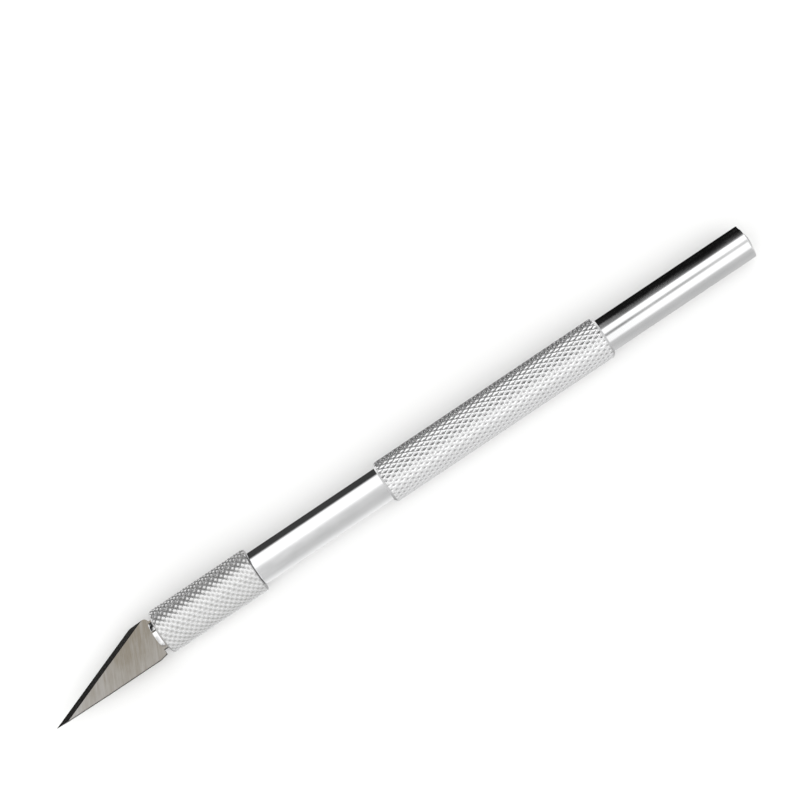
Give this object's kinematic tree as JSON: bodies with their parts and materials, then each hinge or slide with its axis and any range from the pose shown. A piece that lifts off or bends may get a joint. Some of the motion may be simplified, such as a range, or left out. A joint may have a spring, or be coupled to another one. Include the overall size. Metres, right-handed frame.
{
  "type": "hobby craft knife",
  "caption": "Slim metal hobby knife with a pointed angled blade clamped in a slotted collet, knurled chuck collar, knurled grip and polished barrel.",
  "frame": {"origin": "centre of the whole knife's box, on the handle's axis", "axes": "+X along the axis from the blade's tip to the domed rear end; +Y the cutting edge's side; +Z square to the blade's flat face"},
  "size_m": [0.146, 0.0084, 0.0084],
  "materials": {
    "blade_steel": "ground flat faces with a brighter honed bevel",
    "polished_metal": "polished",
    "knurled_metal": "satin, diamond knurled",
    "insert_brass": "machined"
  },
  "bodies": {
    "handle": {"handle_tube": "polished_metal", "thread_insert": "insert_brass", "grip_sleeve": "knurled_metal", "end_plug": "polished_metal"},
    "collar": {"chuck_collar": "knurled_metal"},
    "collet": {"collet_stem": "polished_metal"},
    "jaw_1": {"collet_jaw_1": "polished_metal"},
    "jaw_2": {"collet_jaw_2": "polished_metal"},
    "jaw_3": {"collet_jaw_3": "polished_metal"},
    "jaw_4": {"collet_jaw_4": "polished_metal"},
    "blade": {"blade": "blade_steel"}
  },
  "joints": [
    {"name": "collar_turn", "type": "hinge", "parent": "handle", "child": "collar", "pos_m": [-0.02935, 0, 0], "axis": [-1, 0, 0], "range_deg": [0, 1080]},
    {"name": "collet_travel", "type": "slide", "parent": "collar", "child": "collet", "axis": [-1, 0, 0], "range_m": [0, 0.0021]},
    {"name": "blade_draw", "type": "slide", "parent": "collet", "child": "blade", "axis": [-1, 0, 0], "range_m": [0, 0.02]},
    {"name": "jaw_1_spread", "type": "hinge", "parent": "collet", "child": "jaw_1", "pos_m": [-0.03215, 0.00191, 0.00191], "axis": [0, 0.7071, -0.7071], "range_deg": [0, 0.7]},
    {"name": "jaw_2_spread", "type": "hinge", "parent": "collet", "child": "jaw_2", "pos_m": [-0.03215, -0.00191, 0.00191], "axis": [0, 0.7071, 0.7071], "range_deg": [0, 0.7]},
    {"name": "jaw_3_spread", "type": "hinge", "parent": "collet", "child": "jaw_3", "pos_m": [-0.03215, -0.00191, -0.00191], "axis": [0, -0.7071, 0.7071], "range_deg": [0, 0.7]},
    {"name": "jaw_4_spread", "type": "hinge", "parent": "collet", "child": "jaw_4", "pos_m": [-0.03215, 0.00191, -0.00191], "axis": [0, -0.7071, -0.7071], "range_deg": [0, 0.7]}
  ],
  "couplings": [
    {"joint": "collar_turn", "follows": "collet_travel", "rad_per_m": 8976},
    {"joint": "jaw_1_spread", "follows": "collet_travel", "rad_per_m": 5.8178},
    {"joint": "jaw_2_spread", "follows": "collet_travel", "rad_per_m": 5.8178},
    {"joint": "jaw_3_spread", "follows": "collet_travel", "rad_per_m": 5.8178},
    {"joint": "jaw_4_spread", "follows": "collet_travel", "rad_per_m": 5.8178}
  ]
}
